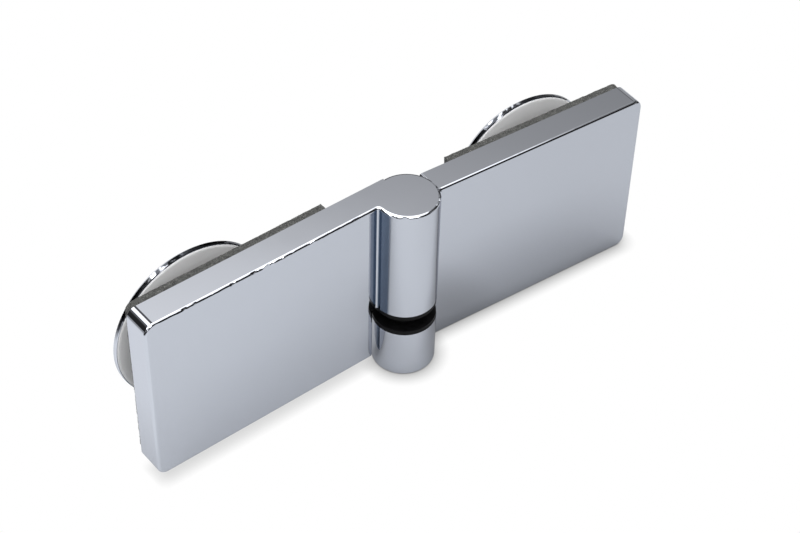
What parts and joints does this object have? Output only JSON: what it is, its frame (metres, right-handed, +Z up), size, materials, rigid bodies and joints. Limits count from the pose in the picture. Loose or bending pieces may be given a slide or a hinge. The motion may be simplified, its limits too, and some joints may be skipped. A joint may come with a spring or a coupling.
{
  "type": "glass to glass hinge",
  "caption": "Polished lifting hinge that joins two glass panels: leaves with round clamp discs turn on a shared pin over a black helical cam.",
  "frame": {"origin": "on the pin's axis, level with the underside of the right leaf, which stands on the table", "axes": "+X runs away from the left leaf along its front face, +Y points from the knuckles to the glass side, +Z points up along the pin"},
  "size_m": [0.1665, 0.0323, 0.0602],
  "materials": {
    "polished_metal": "polished chrome plate on cast brass",
    "gasket_fibre": "speckled grey fibre sheet",
    "seal_plastic": "milky white soft plastic sheet",
    "black_plastic": "satin black acetal",
    "bush_plastic": "natural white nylon",
    "stainless": "plain stainless steel"
  },
  "bodies": {
    "right": {"right_leaf": "polished_metal", "right_gasket": "gasket_fibre", "right_hole_bush": "bush_plastic", "right_disc_seal": "seal_plastic", "right_clamp_disc": "polished_metal", "right_clamp_screw": "stainless", "lower_cam": "black_plastic", "bottom_plug": "polished_metal", "cam_grub_screw": "stainless"},
    "pin": {"hinge_pin": "stainless"},
    "left": {"left_leaf": "polished_metal", "left_gasket": "gasket_fibre", "left_hole_bush": "bush_plastic", "left_disc_seal": "seal_plastic", "left_clamp_disc": "polished_metal", "left_clamp_screw": "stainless", "upper_cam": "black_plastic", "pin_bush": "bush_plastic", "pin_grub_screw": "stainless"}
  },
  "joints": [
    {"name": "pin_lift", "type": "slide", "parent": "right", "child": "pin", "axis": [0, 0, 1], "range_m": [-0.0042, 0.0007]},
    {"name": "leaf_swing", "type": "hinge", "parent": "pin", "child": "left", "pos_m": [0, 0, 0], "axis": [0, 0, 1], "range_deg": [-94.4, 15.6]}
  ],
  "couplings": [
    {"joint": "pin_lift", "follows": "leaf_swing", "m_per_rad": 0.0025465}
  ]
}
